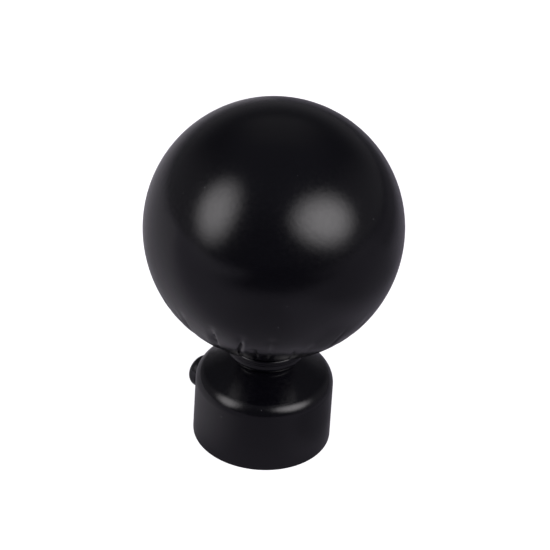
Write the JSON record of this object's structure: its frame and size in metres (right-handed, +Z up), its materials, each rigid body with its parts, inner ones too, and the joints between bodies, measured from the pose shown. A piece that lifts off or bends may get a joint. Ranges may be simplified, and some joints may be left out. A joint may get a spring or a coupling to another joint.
{
  "type": "curtain pole finial",
  "caption": "Curtain pole finial: a hollow metal ball, its mouth gathered into a short collar, on a shouldered socket cup that slips over the pole's end and is clamped by a side screw.",
  "frame": {"origin": "centre of the socket's mouth, in the plane of its rim", "axes": "+Z up along the pole's axis, towards the ball; -Y is the front, and the screw is at the back on the left"},
  "size_m": [0.05, 0.05, 0.0733],
  "materials": {
    "powder_coat": "satin black powder coat",
    "black_zinc": "black zinc plating"
  },
  "bodies": {
    "finial": {"ball": "powder_coat", "socket_cup": "powder_coat"},
    "screw": {"set_screw": "black_zinc"}
  },
  "joints": [
    {"name": "screw_travel", "type": "slide", "parent": "finial", "child": "screw", "axis": [-0.7254, 0.6884, 0], "range_m": [-0.0022, 0.0006]}
  ]
}
